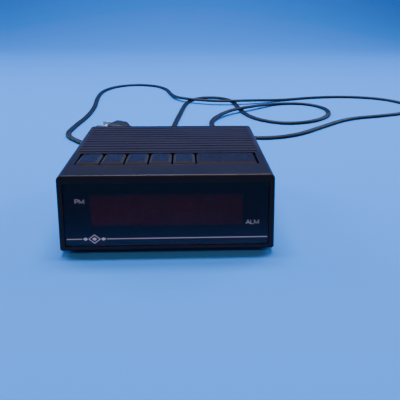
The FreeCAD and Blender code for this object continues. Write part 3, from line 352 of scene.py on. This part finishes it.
def circuit_board():
    shader = Shader("phenolic_board", (0.20, 0.11, 0.04), 0.5)
    fibres = shader.noise(1.2 * MM, 4.0, 0.6, stretch=(0.3, 3.0, 1.0))
    shader.color(shader.mix(shader.ramp(fibres, 0.3, 0.7, 0.0, 1.0), (0.24, 0.13, 0.05), (0.15, 0.08, 0.03)))
    shader.bump(fibres, 0.2, 0.02 * MM)
    return shader.material


def mottled(name, color, rough, size=1.5 * MM, spread=0.25, **sockets):
    """A single-colour moulded or coated part with uneven tone and gloss."""
    shader = Shader(name, color, rough, **sockets)
    cloud = shader.noise(size, 4.0, 0.6)
    darker = tuple(c * (1 - spread) for c in color)
    lighter = tuple(min(1.0, c * (1 + spread)) for c in color)
    shader.color(shader.mix(shader.ramp(cloud, 0.3, 0.7, 0.0, 1.0), darker, lighter))
    shader.roughness(shader.ramp(cloud, 0.3, 0.7, max(0.05, rough - 0.08), rough + 0.08))
    shader.bump(shader.noise(size / 5, 2.0), 0.25, 0.02 * MM)
    return shader.material


def dress_nodes():
    """Gives every CAD node its material, and returns the two that the cord's pieces share."""
    case = moulded_plastic("case_plastic", (0.0160, 0.0140, 0.0105), (0.044, 0.038, 0.034), 0.29, 0.33,
                           depth=0.008 * MM, ribs=(0.035, 0.028, 0.020), specular=0.25)
    base = moulded_plastic("base_plastic", (0.013, 0.013, 0.015), (0.045, 0.042, 0.042), 0.42, 0.58)
    # the key's chamfer colour is a painted highlight on its bevels
    key = moulded_plastic("key_plastic", (0.0160, 0.0140, 0.0100), (0.036, 0.032, 0.028), 0.26, 0.30,
                          grain=0.3 * MM, depth=0.002 * MM, scuffs=0.6, dust=0.06,
                          bevel_highlight=(0.046, 0.042, 0.044), specular=0.17)
    vinyl = soft_vinyl("cord_vinyl", (0.008, 0.0075, 0.008), 0.5, dust_color=(0.034, 0.030, 0.028))
    plug = soft_vinyl("plug_vinyl", (0.008, 0.008, 0.009), 0.46, dust_color=(0.03, 0.028, 0.028))
    brass = metal("blade_brass", (1.0, 0.62, 0.40), 0.45, stretch=(0.4, 2.0, 2.0), tarnish=0.2)
    steel = metal("screw_steel", (0.55, 0.55, 0.54), 0.3, tarnish=0.35)
    board = circuit_board()
    chip = mottled("chip_epoxy", (0.02, 0.02, 0.02), 0.5)
    lead = mottled("lead_vinyl", (0.05, 0.045, 0.04), 0.45)
    dark = mottled("buzzer_plastic", (0.018, 0.018, 0.02), 0.55, spread=0.3)
    reflector = mottled("reflector_plastic", (0.13, 0.03, 0.045), 0.6, 5 * MM, spread=0.06)
    nodes = {
        "top_housing": case, "bottom_housing": base,
        "front_lens": lens_acrylic(), "lens_mask": printed_black(),
        "display_reflector": reflector,
        "display_segments": mottled("segment_plastic", (0.15, 0.04, 0.055), 0.5, 5 * MM, spread=0.06),
        "display_board": board, "key_board": board, "main_board": board, "clock_chip": chip,
        "regulator": chip, "filter_capacitor": mottled("capacitor_sleeve", (0.02, 0.04, 0.12), 0.3, 6 * MM),
        "transformer_core": metal("core_steel", (0.20, 0.19, 0.19), 0.45, stretch=(0.2, 8.0, 0.2),
                                  tarnish=0.5),
        "transformer_bracket": metal("bracket_steel", (0.6, 0.6, 0.58), 0.3),
        "transformer_bobbin": mottled("bobbin_nylon", (0.72, 0.70, 0.64), 0.5),
        "transformer_primary": mottled("winding_tape", (0.72, 0.55, 0.10), 0.3, 4 * MM),
        "transformer_secondary": mottled("winding_tape_2", (0.70, 0.52, 0.10), 0.3, 4 * MM),
        "buzzer_housing": dark, "buzzer_disc": metal("buzzer_brass", (0.78, 0.60, 0.28), 0.25),
        "rating_label": mottled("label_foil", (0.52, 0.51, 0.49), 0.35, 5 * MM, spread=0.1),
        "primary_lead": lead, "secondary_lead": lead,
        "display_ribbon": mottled("ribbon_vinyl", (0.42, 0.42, 0.41), 0.45),
        "strain_relief": plug, "plug_body": plug, "power_cord": vinyl,
        "plug_blade_wide": brass, "plug_blade_narrow": brass,
    }
    diode = mottled("diode_epoxy", (0.02, 0.02, 0.02), 0.35)
    resistor = mottled("resistor_lacquer", (0.55, 0.42, 0.26), 0.4, 1.0 * MM)
    rubber = mottled("foot_rubber", (0.025, 0.025, 0.025), 0.75, 0.8 * MM, spread=0.4)
    switch = mottled("switch_plastic", (0.03, 0.03, 0.03), 0.5)
    plunger = mottled("plunger_plastic", (0.6, 0.58, 0.54), 0.45)
    repeated = {"key": key, "snooze": key, "switch": switch, "plunger": plunger, "diode": diode,
                "resistor": resistor, "foot": rubber, "case_screw": steel}
    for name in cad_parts:
        stem = name.rsplit("_", 1)[0]
        set_material(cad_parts[name], nodes.get(name) or repeated[stem])
    return {"vinyl": vinyl, "plug": plug}


def set_material(piece, material):
    if not piece.data.materials:
        piece.data.materials.append(material)
        return
    for index in range(len(piece.data.materials)):
        piece.data.materials[index] = material


# --- camera, floor and light ------------------------------------------------------------------

CAMERA_RIGHT = 11.3 * MM        # of the middle of the case
CAMERA_AHEAD = 202.5 * MM       # of the lower front edge
CAMERA_UP = 140.7 * MM          # above the table
CAMERA_TILT = math.radians(27.19)
CAMERA_HEADING = math.radians(-2.26)
CAMERA_ROLL = math.radians(0.35)
SENSOR_WIDTH = 36.0             # millimetres, as Blender counts them
FOCAL_LENGTH = 36.0


def add_camera():
    camera = bpy.data.objects.new("camera", bpy.data.cameras.new("camera"))
    bpy.context.scene.collection.objects.link(camera)
    camera.data.sensor_width = SENSOR_WIDTH
    camera.data.lens = FOCAL_LENGTH
    camera.data.clip_start = 0.01
    camera.data.clip_end = 50.0
    turn = Matrix.Rotation(CAMERA_HEADING, 4, "Z") @ Matrix.Rotation(math.pi / 2 - CAMERA_TILT, 4, "X")
    place = Matrix.Translation((CAMERA_RIGHT, FRONT_FOOT_Y - CAMERA_AHEAD, CAMERA_UP))
    camera.matrix_world = place @ turn @ Matrix.Rotation(CAMERA_ROLL, 4, "Z")
    bpy.context.scene.camera = camera


FLOOR_COLOR = (0.03, 0.345, 0.92)
SWEEP_START = 0.9               # where the paper starts to curve up behind the clock
SWEEP_RADIUS = 0.5
SWEEP_TOP = 2.4
SWEEP_STEPS = 32
FLOOR_REACH = 8.0


def add_floor():
    """A sheet of pale blue paper that lies flat and curves up behind the clock."""
    profile = [(-FLOOR_REACH, 0.0)]
    for step in range(SWEEP_STEPS + 1):
        angle = math.pi / 2 * step / SWEEP_STEPS
        profile.append((SWEEP_START + SWEEP_RADIUS * math.sin(angle), SWEEP_RADIUS * (1 - math.cos(angle))))
    profile.append((SWEEP_START + SWEEP_RADIUS, SWEEP_TOP))
    vertices = [(x, y, TABLE_Z + z) for y, z in profile for x in (-FLOOR_REACH, FLOOR_REACH)]
    faces = [(i, i + 1, i + 3, i + 2) for i in range(0, len(vertices) - 2, 2)]
    mesh = mesh_from("floor", vertices, faces)
    for polygon in mesh.polygons:
        polygon.use_smooth = True
    floor = bpy.data.objects.new("floor", mesh)
    bpy.context.scene.collection.objects.link(floor)
    shader = Shader("floor_paper", FLOOR_COLOR, 0.8)
    cloud = shader.noise(0.9, 3.0, 0.5)
    darker = tuple(c * 0.96 for c in FLOOR_COLOR)
    lighter = tuple(c * 1.03 for c in FLOOR_COLOR)
    shader.color(shader.mix(cloud, darker, lighter))
    shader.bump(shader.noise(0.6 * MM, 2.0), 0.08, 0.05 * MM)
    floor.data.materials.append(shader.material)


ROOM_HIGH = (0.022, 0.045, 0.085, 1.0)      # radiance of the room overhead
ROOM_LOW = (0.03, 0.18, 0.50, 1.0)          # and of the band around the horizon
BAND_LOW = 0.10                             # sines of the elevations where the band ends
BAND_HIGH = 0.32
LAMP_COLOR = (0.54, 0.66, 1.0)
LAMP_SPREAD = math.radians(104)
FILL_COLOR = (1.0, 0.42, 0.28)
LAMPS = (                       # name, place, target and size in metres, power in watts, color
    ("overhead_near", (0.0, 0.58, 1.70), (0, 0.1, 0), (1.3, 0.09), 10.2, LAMP_COLOR),
    ("overhead_far", (0.0, 0.90, 1.65), (0, 0.1, 0), (1.3, 0.28), 9.2, LAMP_COLOR),
    ("side_left", (-1.1, 0.8, 0.75), (0, 0, 0), (0.6, 0.6), 3.0, LAMP_COLOR),
    ("side_right", (1.1, 0.8, 0.75), (0, 0, 0), (0.6, 0.6), 3.0, LAMP_COLOR),
    ("front_fill", (0.2, -0.8, 1.25), (0, 0, 0), (0.9, 0.5), 3.0, FILL_COLOR),
)


def add_area_light(name, place, target, size, power, color):
    light = bpy.data.lights.new(name, "AREA")
    light.shape = "RECTANGLE"
    light.size, light.size_y = size
    light.energy = power
    light.spread = LAMP_SPREAD
    light.color = color
    lamp = bpy.data.objects.new(name, light)
    bpy.context.scene.collection.objects.link(lamp)
    lamp.location = place
    lamp.rotation_euler = (Vector(target) - Vector(place)).to_track_quat("-Z", "Y").to_euler()


def add_light():
    """Lamps, and a dim room that is bluer and brighter around the horizon."""
    world = bpy.data.worlds.new("studio")
    bpy.context.scene.world = world
    world.use_nodes = True
    nodes, links = world.node_tree.nodes, world.node_tree.links
    direction = nodes.new("ShaderNodeTexCoord").outputs["Generated"]
    parts = nodes.new("ShaderNodeSeparateXYZ")
    links.new(direction, parts.inputs[0])
    height = nodes.new("ShaderNodeMapRange")
    height.inputs["From Min"].default_value = BAND_LOW
    height.inputs["From Max"].default_value = BAND_HIGH
    links.new(parts.outputs["Z"], height.inputs["Value"])
    blend = nodes.new("ShaderNodeMix")
    blend.data_type = "RGBA"
    links.new(height.outputs["Result"], blend.inputs[0])
    blend.inputs[6].default_value = ROOM_LOW
    blend.inputs[7].default_value = ROOM_HIGH
    links.new(blend.outputs[2], nodes["Background"].inputs["Color"])
    for lamp in LAMPS:
        add_area_light(*lamp)


# --- cord -------------------------------------------------------------------------------------

ROUTE_RESOLUTION = 14           # points of the smooth line for each stretch of the route
LOBE_STEPS = 14
LOBE_REACH = math.radians(148)  # half of the turn that each lobe's outline makes


def route_points(route):
    """Points of the smooth line that the route steers."""
    data = bpy.data.curves.new("route", "CURVE")
    data.dimensions = "3D"
    data.resolution_u = ROUTE_RESOLUTION
    spline = data.splines.new("NURBS")
    spline.points.add(len(route) - 1)
    for point, place in zip(spline.points, route):
        point.co = (*place, 1.0)
    spline.order_u = 3
    spline.use_endpoint_u = True
    holder = bpy.data.objects.new("route", data)
    bpy.context.scene.collection.objects.link(holder)
    line = bpy.data.meshes.new_from_object(holder)
    points = [vertex.co.copy() for vertex in line.vertices]
    bpy.data.objects.remove(holder)
    bpy.data.meshes.remove(line)
    return points


def twin_profile():
    """Figure-eight outline of the flat twin cord, as (across, up) pairs."""
    lobe = [-LOBE_REACH + 2 * LOBE_REACH * i / LOBE_STEPS for i in range(LOBE_STEPS + 1)]
    right = [(CORD_LOBE + CORD_LOBE * math.cos(a), CORD_LOBE * math.sin(a)) for a in lobe]
    return right + [(-x, -z) for x, z in right]


def add_cord(materials, plug, boot):
    """The twin cord, swept flat side down along its route."""
    points = route_points(CORD_ROUTE)
    profile = twin_profile()
    rings = []
    for index, point in enumerate(points):
        ahead = points[min(index + 1, len(points) - 1)] - points[max(index - 1, 0)]
        ahead.normalize()
        across = ahead.cross(Vector((0, 0, 1))).normalized()
        rise = across.cross(ahead)
        rings.append([point + across * x + rise * z for x, z in profile])
    cord = new_object("cord_twin", tube_mesh("cord_twin", rings))
    cord.data.materials.append(materials["vinyl"])
    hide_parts("power_cord")


# --- boot and plug ----------------------------------------------------------------------------

BOOT_SHAPE = (                  # distance from the inside of the wall, half width, half height (mm)
    (0.0, 4.2, 2.8),
    (2.7, 4.2, 2.8),
    (2.8, 5.2, 4.2),
    (6.6, 4.8, 3.7),
    (24.6, 3.5, 2.2),
)
BOOT_SQUARENESS = 3.6
BOOT_STEP = 0.3
FLEX_START = 8.5                # the rings that let the boot bend
FLEX_END = 22.5
FLEX_PITCH = 2.8
FLEX_DEPTH = 0.55
PLUG_SHAPE = (                  # distance from the cord end, half width, half height, squareness (mm)
    (0.0, 3.6, 2.6, 3.0),
    (0.8, 4.2, 3.2, 3.0),
    (4.0, 5.5, 4.0, 3.2),
    (15.0, 11.6, 6.9, 3.8),
    (24.6, 12.0, 7.0, 4.2),
    (25.6, 11.7, 6.7, 4.2),
    (26.0, 11.0, 6.0, 4.2),
)
PLUG_STEP = 0.25
GRIP_START = 7.0                # the grooves across the plug where it is gripped
GRIP_END = 21.0
GRIP_PITCH = 2.0
GRIP_DEPTH = 0.45
GROOVE_POWER = 6                # an even power: higher makes the grooves narrower


def groove_depth(along, start, end, pitch, depth):
    """Depth of a row of round-bottomed grooves at one distance along a moulding."""
    if not start < along < end:
        return 0.0
    wave = math.sin(math.pi * (along - start) / pitch)
    return depth * wave ** GROOVE_POWER


def add_boot(materials):
    """Tapered boot with bending rings, from inside the rear wall to where the cord leaves it."""
    rings = []
    length = BOOT_SHAPE[-1][0]
    for index in range(round(length / BOOT_STEP) + 1):
        along = min(index * BOOT_STEP, length)
        half_width, half_height = between(BOOT_SHAPE, along)
        sunk = groove_depth(along, FLEX_START, FLEX_END, FLEX_PITCH, FLEX_DEPTH)
        outline = soft_oblong(half_width - sunk, half_height - sunk, BOOT_SQUARENESS)
        rings.append([BOOT_START + Vector((-x, along, z)) * MM for x, z in outline])
    boot = new_object("cord_boot", tube_mesh("cord_boot", rings))
    boot.data.materials.append(materials["plug"])
    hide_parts("strain_relief")
    return boot


def add_plug(materials):
    """Moulded plug body with grip grooves across it; its blades are the CAD blades."""
    turn = Matrix.Translation(PLUG_START) @ Matrix.Rotation(PLUG_TURN, 4, "Z")
    rings = []
    length = PLUG_SHAPE[-1][0]
    for index in range(round(length / PLUG_STEP) + 1):
        along = min(index * PLUG_STEP, length)
        half_width, half_height, square = between(PLUG_SHAPE, along)
        sunk = groove_depth(along, GRIP_START, GRIP_END, GRIP_PITCH, GRIP_DEPTH)
        outline = soft_oblong(half_width - sunk, half_height - sunk, square)
        rings.append([turn @ (Vector((-along, x, z)) * MM) for x, z in outline])
    plug = new_object("plug_moulding", tube_mesh("plug_moulding", rings))
    plug.data.materials.append(materials["plug"])
    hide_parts("plug_body")
    return plug


# --- print on the front panel -----------------------------------------------------------------

PRINT_LIFT = 0.02 * MM
PRINT_THICKNESS = 0.03 * MM
LINE_UP = SLANT - 38.5 * MM
LINE_HALF_WIDTH = 60.6 * MM
LINE_HEIGHT = 0.5 * MM
ORNAMENT_LEFT = -51.3 * MM
ORNAMENT_RIGHT = -36.4 * MM
ORNAMENT_STROKE = 0.45 * MM
FRAME_LOZENGE = (3.4 * MM, 2.6 * MM)        # half width and half height of each lozenge
INNER_LOZENGE = (1.5 * MM, 1.1 * MM)
OUTER_LOZENGE = (1.6 * MM, 1.1 * MM)
OUTER_SHIFT = 5.4 * MM
PM_PLACE = (-51.4 * MM, SLANT - 15.5 * MM)  # middle of each word, across and up the front face
ALM_PLACE = (51.2 * MM, SLANT - 29.1 * MM)
LETTER_HEIGHT = 2.5 * MM
LETTER_STROKE = 0.27 * MM
LETTER_GAP = 0.45 * MM
LETTERS = {                     # width, then strokes of (across, up) points, all in letter heights
    "P": (0.80, (((0.0, 0.0), (0.0, 1.0), (0.60, 1.0), (0.78, 0.90),
                  (0.78, 0.60), (0.60, 0.50), (0.08, 0.50)),)),
    "M": (1.10, (((0.0, 0.0), (0.0, 1.0), (0.55, 0.18), (1.10, 1.0), (1.10, 0.0)),)),
    "A": (1.00, (((0.0, 0.0), (0.50, 1.0), (1.00, 0.0)), ((0.22, 0.30), (0.78, 0.30)))),
    "L": (0.66, (((0.0, 1.0), (0.0, 0.0), (0.66, 0.0)),)),
}


def print_shape(name, outlines, white):
    """Thin raised print from outlines of (x, up) points on the front panel."""
    near = PANEL_RECESS - PRINT_LIFT - PRINT_THICKNESS
    far = PANEL_RECESS - PRINT_LIFT
    vertices, faces = [], []
    for outline in outlines:
        first, count = len(vertices), len(outline)
        vertices += [on_front(x, up, near) for x, up in outline]
        vertices += [on_front(x, up, far) for x, up in outline]
        faces.append(tuple(range(first, first + count)))
        faces.append(tuple(reversed(range(first + count, first + 2 * count))))
        for index in range(count):
            a, b = first + index, first + (index + 1) % count
            faces.append((a, a + count, b + count, b))
    piece = new_object(name, mesh_from(name, vertices, faces), smooth=False)
    piece.data.materials.append(white)


def bar_outline(left, right, middle, height):
    return [(left, middle - height / 2), (right, middle - height / 2),
            (right, middle + height / 2), (left, middle + height / 2)]


def lozenge(middle, up, half_width, half_height):
    return [(middle - half_width, up), (middle, up - half_height), (middle + half_width, up),
            (middle, up + half_height)]


def stroke_outline(points, width):
    """Outline of a pen stroke along points, with mitred corners."""
    sides = ([], [])
    for index, point in enumerate(points):
        before = (point - points[index - 1]).normalized() if index else None
        after = (points[index + 1] - point).normalized() if index + 1 < len(points) else None
        along = ((before or after) + (after or before)).normalized()
        normal = Vector((-along.y, along.x))
        square = Vector((-(after or before).y, (after or before).x))
        reach = width / 2 / max(normal.dot(square), 0.55)
        sides[0].append(point - normal * reach)
        sides[1].append(point + normal * reach)
    return [tuple(point) for point in sides[0] + sides[1][::-1]]


def indicator_word(name, word, place, white):
    """A generic indicator label in thin strokes, set flat on the panel."""
    middle, up = place
    total = sum(LETTERS[letter][0] for letter in word) * LETTER_HEIGHT + LETTER_GAP * (len(word) - 1)
    left = middle - total / 2
    outlines = []
    for letter in word:
        width, strokes = LETTERS[letter]
        for stroke in strokes:
            points = [Vector((left + a * LETTER_HEIGHT, up + (b - 0.5) * LETTER_HEIGHT))
                      for a, b in stroke]
            outlines.append(stroke_outline(points, LETTER_STROKE))
        left += width * LETTER_HEIGHT + LETTER_GAP
    print_shape(name, outlines, white)


def add_panel_print():
    """The white line with its ornament of lozenges, and the two indicator words."""
    white = printed_white()
    print_shape("line_left", [bar_outline(-LINE_HALF_WIDTH, ORNAMENT_LEFT, LINE_UP, LINE_HEIGHT)], white)
    print_shape("line_right", [bar_outline(ORNAMENT_RIGHT, LINE_HALF_WIDTH, LINE_UP, LINE_HEIGHT)], white)
    middle = (ORNAMENT_LEFT + ORNAMENT_RIGHT) / 2
    diamond = [Vector(point) for point in lozenge(middle, LINE_UP, *FRAME_LOZENGE)]
    print_shape("ornament", [
        stroke_outline(diamond[:3], ORNAMENT_STROKE),
        stroke_outline(diamond[2:] + diamond[:1], ORNAMENT_STROKE),
        lozenge(middle, LINE_UP, *INNER_LOZENGE),
        lozenge(middle - OUTER_SHIFT, LINE_UP, *OUTER_LOZENGE),
        lozenge(middle + OUTER_SHIFT, LINE_UP, *OUTER_LOZENGE),
    ], white)
    indicator_word("label_pm", "PM", PM_PLACE, white)
    indicator_word("label_alm", "ALM", ALM_PLACE, white)


# --- the whole scene --------------------------------------------------------------------------

def main():
    add_camera()
    materials = dress_nodes()
    add_cord(materials, add_plug(materials), add_boot(materials))
    add_panel_print()
    add_floor()
    add_light()
    bpy.context.view_layer.update()


main()
